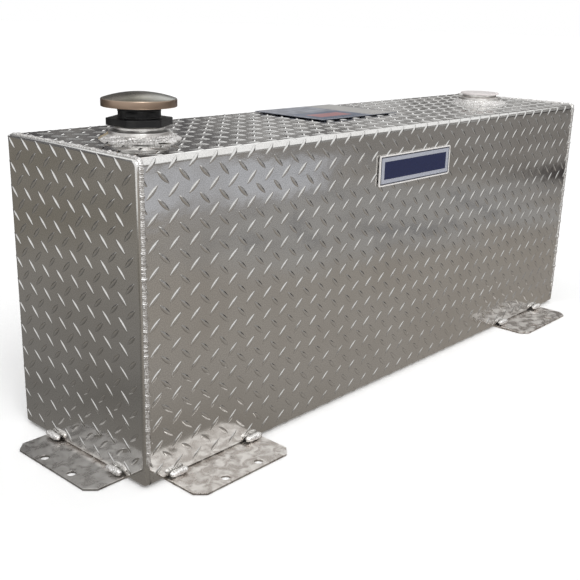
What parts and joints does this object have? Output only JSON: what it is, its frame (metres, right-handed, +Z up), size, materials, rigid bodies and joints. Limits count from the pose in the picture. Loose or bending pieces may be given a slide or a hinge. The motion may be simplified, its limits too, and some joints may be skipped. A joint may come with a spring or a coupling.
{
  "type": "truck bed transfer tank",
  "caption": "Long rectangular tread-plate tank with a vented filler cap, a plugged pump port, slosh baffles and drilled mounting tabs.",
  "frame": {"origin": "centre of the footprint, tabs included, on the floor under the tabs", "axes": "+Z up, +X along the tank to the right as seen from its front, -Y out of the long front face"},
  "size_m": [1.342, 0.373, 0.5266],
  "materials": {
    "tread_plate": "bright rolled tread plate",
    "weld_metal": "as welded",
    "mill_plate": "mill finish with light scuffs",
    "turned_aluminium": "turned, satin",
    "black_plastic": "moulded, satin",
    "black_rubber": "matte",
    "grey_fibre": "matte",
    "passivated_steel": "yellow passivated zinc, glossy",
    "zinc_steel": "bright zinc",
    "filter_foam": "open foam",
    "clear_plastic": "translucent",
    "badge_paint": "glossy",
    "placard_film": "satin film"
  },
  "bodies": {
    "tank": {"wrapper": "tread_plate", "left_end_plate": "tread_plate", "right_end_plate": "tread_plate", "left_end_weld": "weld_metal", "right_end_weld": "weld_metal", "seam_weld": "weld_metal", "left_baffle": "mill_plate", "right_baffle": "mill_plate", "filler_bung": "turned_aluminium", "pump_bung": "turned_aluminium", "filler_bung_weld": "weld_metal", "pump_bung_weld": "weld_metal", "neck_washer": "grey_fibre", "filler_neck": "black_plastic", "front_left_tab": "mill_plate", "front_left_tab_weld_a": "weld_metal", "front_left_tab_weld_b": "weld_metal", "front_right_tab": "mill_plate", "front_right_tab_weld_a": "weld_metal", "front_right_tab_weld_b": "weld_metal", "left_end_tab": "mill_plate", "left_end_tab_weld_a": "weld_metal", "left_end_tab_weld_b": "weld_metal", "right_end_tab": "mill_plate", "right_end_tab_weld_a": "weld_metal", "right_end_tab_weld_b": "weld_metal", "badge_plate": "badge_paint", "top_placard": "placard_film"},
    "cap_seal": {"cap_gasket": "black_rubber"},
    "cap": {"cap_dome": "passivated_steel", "cap_backing_plate": "zinc_steel", "cap_core": "black_plastic", "vent_filter": "filter_foam", "cap_rivet": "zinc_steel"},
    "plug": {"port_plug": "clear_plastic"}
  },
  "joints": [
    {"name": "cap_lift", "type": "slide", "parent": "tank", "child": "cap_seal", "axis": [0, 0, 1], "range_m": [0, 0.06]},
    {"name": "cap_turn", "type": "hinge", "parent": "cap_seal", "child": "cap", "pos_m": [-0.489, 0.02955, 0.5], "axis": [0, 0, 1], "continuous": true},
    {"name": "plug_lift", "type": "slide", "parent": "tank", "child": "plug", "axis": [0, 0, 1], "range_m": [0, 0.04]}
  ]
}
